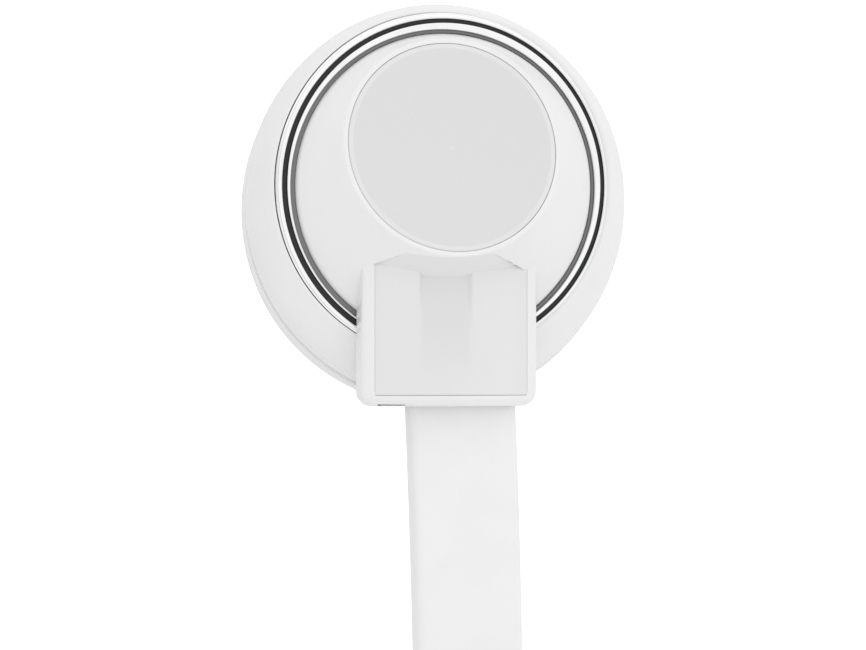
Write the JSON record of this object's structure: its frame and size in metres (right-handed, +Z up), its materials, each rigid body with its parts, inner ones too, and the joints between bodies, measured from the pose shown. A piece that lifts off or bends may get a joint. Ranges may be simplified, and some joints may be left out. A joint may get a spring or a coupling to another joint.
{
  "type": "neckband earphones",
  "caption": "In-ear earphones joined by a flat behind-the-neck cord, each housing with a chrome ring, a leaning round press button and a soft ear tip, laid down with the cord wound up.",
  "frame": {"origin": "on the table, midway between the two earpieces", "axes": "+X from the right earpiece to the left one, +Y away from the cord, +Z up out of the earpieces' outer faces"},
  "size_m": [0.0495, 0.0801, 0.0142],
  "materials": {
    "white_shell": "gloss",
    "white_gloss": "high gloss",
    "white_satin": "satin gloss",
    "chrome_trim": "polished",
    "ear_tip_silicone": "soft satin",
    "cord_rubber": "satin",
    "steel_mesh": "woven",
    "gold_contact": "polished",
    "driver_plastic": "matte",
    "diaphragm_film": "film",
    "copper_wire": "enamelled",
    "magnet_metal": "plated",
    "battery_steel": "satin",
    "board_green": "solder mask"
  },
  "bodies": {
    "earphones": {"left_ear_tip": "ear_tip_silicone", "left_nozzle_mesh": "steel_mesh", "left_front_shell": "white_shell", "left_charge_pins": "gold_contact", "left_driver_frame": "driver_plastic", "left_diaphragm": "diaphragm_film", "left_voice_coil": "copper_wire", "left_magnet": "magnet_metal", "left_yoke": "magnet_metal", "left_battery": "battery_steel", "left_circuit_board": "board_green", "left_tact_switch": "driver_plastic", "left_rear_shell": "white_shell", "left_chrome_ring": "chrome_trim", "left_outer_cover": "white_gloss", "left_boot_panel": "white_gloss", "left_cord_clamp": "driver_plastic", "left_microphone": "battery_steel", "right_ear_tip": "ear_tip_silicone", "right_nozzle_mesh": "steel_mesh", "right_front_shell": "white_shell", "right_charge_pins": "gold_contact", "right_driver_frame": "driver_plastic", "right_diaphragm": "diaphragm_film", "right_voice_coil": "copper_wire", "right_magnet": "magnet_metal", "right_yoke": "magnet_metal", "right_battery": "battery_steel", "right_circuit_board": "board_green", "right_tact_switch": "driver_plastic", "right_rear_shell": "white_shell", "right_chrome_ring": "chrome_trim", "right_outer_cover": "white_gloss", "right_boot_panel": "white_gloss", "right_cord_clamp": "driver_plastic", "right_microphone": "battery_steel", "cord_left": "cord_rubber", "cord_coil": "cord_rubber", "cord_right": "cord_rubber"},
    "left_button": {"left_button_cap": "white_satin"},
    "right_button": {"right_button_cap": "white_satin"}
  },
  "joints": [
    {"name": "left_button_press", "type": "slide", "parent": "earphones", "child": "left_button", "axis": [0, -0.225, -0.9744], "range_m": [0, 0.0003], "stiffness_N_per_m": 4000, "springref_m": -0.00005},
    {"name": "right_button_press", "type": "slide", "parent": "earphones", "child": "right_button", "axis": [0, -0.225, -0.9744], "range_m": [0, 0.0003], "stiffness_N_per_m": 4000, "springref_m": -0.00005}
  ]
}
